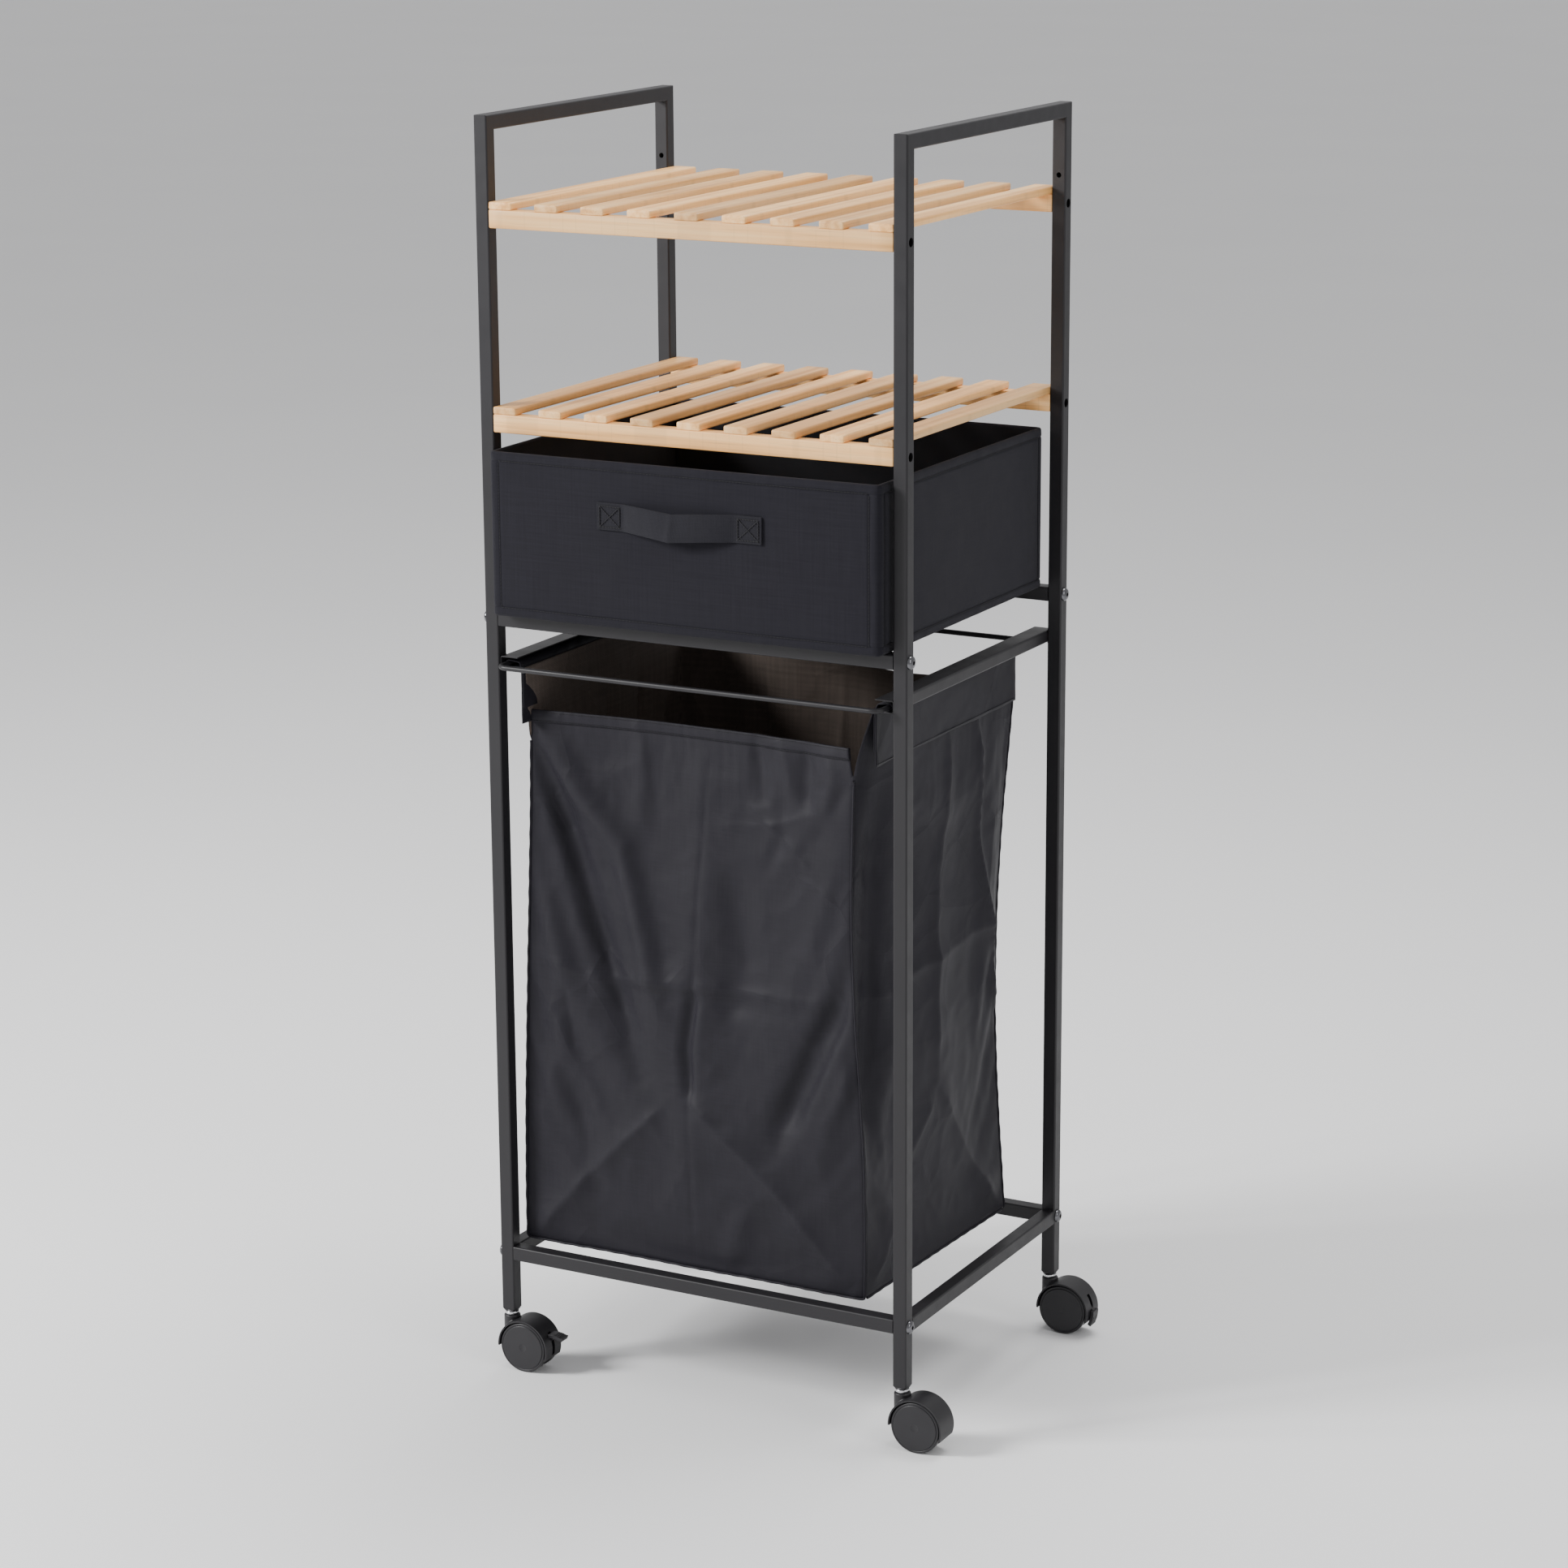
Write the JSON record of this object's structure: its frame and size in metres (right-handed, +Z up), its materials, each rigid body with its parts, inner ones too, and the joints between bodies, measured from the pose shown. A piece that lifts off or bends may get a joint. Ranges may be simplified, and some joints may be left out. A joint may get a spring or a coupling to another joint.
{
  "type": "rolling laundry sorter",
  "caption": "Tall tube frame on swivel casters with slatted bamboo shelves, a fabric drawer and a laundry bag on a sliding wire hanger.",
  "frame": {"origin": "middle of the overall bounding box, on the floor, with drawer and bag closed and the casters trailing to +X", "axes": "+Z up, -Y towards the drawer's front, +X to the right of someone facing the drawer"},
  "size_m": [0.487, 0.38, 1.215],
  "materials": {
    "black_steel": "satin black powder coat",
    "bamboo": "clear satin lacquer over pale bamboo",
    "canvas": "dark plain-woven canvas",
    "webbing": "dark ribbed webbing",
    "bag_cloth": "thin black plain-woven cloth",
    "caster_plastic": "fine-grained dark grey plastic",
    "zinc": "bright zinc plate",
    "dark_bolt": "smooth black nickel"
  },
  "bodies": {
    "frame": {"left_front_post": "black_steel", "left_rear_post": "black_steel", "right_front_post": "black_steel", "right_rear_post": "black_steel", "left_top_bar": "black_steel", "right_top_bar": "black_steel", "left_base_rail": "black_steel", "right_base_rail": "black_steel", "left_runner": "black_steel", "right_runner": "black_steel", "drawer_front_crossbar": "black_steel", "drawer_rear_crossbar": "black_steel", "base_front_crossbar": "black_steel", "base_rear_crossbar": "black_steel", "top_shelf_front_rail": "bamboo", "top_shelf_rear_rail": "bamboo", "top_shelf_slats": "bamboo", "lower_shelf_front_rail": "bamboo", "lower_shelf_rear_rail": "bamboo", "lower_shelf_slats": "bamboo", "crossbar_bolts": "dark_bolt", "shelf_screws": "zinc", "crossbar_inserts": "zinc", "post_plugs": "caster_plastic", "caster_stems": "zinc"},
    "drawer": {"drawer_front_panel": "canvas", "drawer_back_panel": "canvas", "drawer_left_panel": "canvas", "drawer_right_panel": "canvas", "drawer_base_board": "canvas", "drawer_pull_strap": "webbing"},
    "bag_hanger": {"hanger_front_rod": "black_steel", "hanger_side_rods": "black_steel", "hanger_rear_rod": "black_steel", "bag_front": "bag_cloth", "bag_back": "bag_cloth", "bag_left_side": "bag_cloth", "bag_right_side": "bag_cloth", "bag_bottom": "bag_cloth", "bag_left_sleeve": "bag_cloth", "bag_right_sleeve": "bag_cloth"},
    "fl_caster": {"fl_caster_housing": "caster_plastic", "fl_caster_axle": "zinc"},
    "fl_front_wheel_body": {"fl_front_wheel": "caster_plastic"},
    "fl_rear_wheel_body": {"fl_rear_wheel": "caster_plastic"},
    "fl_lever": {"fl_brake_lever": "caster_plastic"},
    "fr_caster": {"fr_caster_housing": "caster_plastic", "fr_caster_axle": "zinc"},
    "fr_front_wheel_body": {"fr_front_wheel": "caster_plastic"},
    "fr_rear_wheel_body": {"fr_rear_wheel": "caster_plastic"},
    "rl_caster": {"rl_caster_housing": "caster_plastic", "rl_caster_axle": "zinc"},
    "rl_front_wheel_body": {"rl_front_wheel": "caster_plastic"},
    "rl_rear_wheel_body": {"rl_rear_wheel": "caster_plastic"},
    "rr_caster": {"rr_caster_housing": "caster_plastic", "rr_caster_axle": "zinc"},
    "rr_front_wheel_body": {"rr_front_wheel": "caster_plastic"},
    "rr_rear_wheel_body": {"rr_rear_wheel": "caster_plastic"},
    "rr_lever": {"rr_brake_lever": "caster_plastic"}
  },
  "joints": [
    {"name": "drawer_slide", "type": "slide", "parent": "frame", "child": "drawer", "axis": [0, -1, 0], "range_m": [0, 0.22]},
    {"name": "bag_hanger_slide", "type": "slide", "parent": "frame", "child": "bag_hanger", "axis": [0, -1, 0], "range_m": [0, 0.26]},
    {"name": "fl_swivel", "type": "hinge", "parent": "frame", "child": "fl_caster", "pos_m": [-0.23285, -0.154, 0.045], "axis": [0, 0, 1], "continuous": true},
    {"name": "fl_front_wheel_spin", "type": "hinge", "parent": "fl_caster", "child": "fl_front_wheel_body", "pos_m": [-0.21385, -0.154, 0.025], "axis": [0, 1, 0], "continuous": true},
    {"name": "fl_rear_wheel_spin", "type": "hinge", "parent": "fl_caster", "child": "fl_rear_wheel_body", "pos_m": [-0.21385, -0.154, 0.025], "axis": [0, 1, 0], "continuous": true},
    {"name": "fl_brake_hinge", "type": "hinge", "parent": "fl_caster", "child": "fl_lever", "pos_m": [-0.1925, -0.154, 0.03032], "axis": [0, -1, 0], "range_deg": [-95, 0]},
    {"name": "fr_swivel", "type": "hinge", "parent": "frame", "child": "fr_caster", "pos_m": [0.19315, -0.154, 0.045], "axis": [0, 0, 1], "continuous": true},
    {"name": "fr_front_wheel_spin", "type": "hinge", "parent": "fr_caster", "child": "fr_front_wheel_body", "pos_m": [0.21215, -0.154, 0.025], "axis": [0, 1, 0], "continuous": true},
    {"name": "fr_rear_wheel_spin", "type": "hinge", "parent": "fr_caster", "child": "fr_rear_wheel_body", "pos_m": [0.21215, -0.154, 0.025], "axis": [0, 1, 0], "continuous": true},
    {"name": "rl_swivel", "type": "hinge", "parent": "frame", "child": "rl_caster", "pos_m": [-0.23285, 0.176, 0.045], "axis": [0, 0, 1], "continuous": true},
    {"name": "rl_front_wheel_spin", "type": "hinge", "parent": "rl_caster", "child": "rl_front_wheel_body", "pos_m": [-0.21385, 0.176, 0.025], "axis": [0, 1, 0], "continuous": true},
    {"name": "rl_rear_wheel_spin", "type": "hinge", "parent": "rl_caster", "child": "rl_rear_wheel_body", "pos_m": [-0.21385, 0.176, 0.025], "axis": [0, 1, 0], "continuous": true},
    {"name": "rr_swivel", "type": "hinge", "parent": "frame", "child": "rr_caster", "pos_m": [0.19315, 0.176, 0.045], "axis": [0, 0, 1], "continuous": true},
    {"name": "rr_front_wheel_spin", "type": "hinge", "parent": "rr_caster", "child": "rr_front_wheel_body", "pos_m": [0.21215, 0.176, 0.025], "axis": [0, 1, 0], "continuous": true},
    {"name": "rr_rear_wheel_spin", "type": "hinge", "parent": "rr_caster", "child": "rr_rear_wheel_body", "pos_m": [0.21215, 0.176, 0.025], "axis": [0, 1, 0], "continuous": true},
    {"name": "rr_brake_hinge", "type": "hinge", "parent": "rr_caster", "child": "rr_lever", "pos_m": [0.2335, 0.176, 0.03032], "axis": [0, -1, 0], "range_deg": [0, 95]}
  ]
}
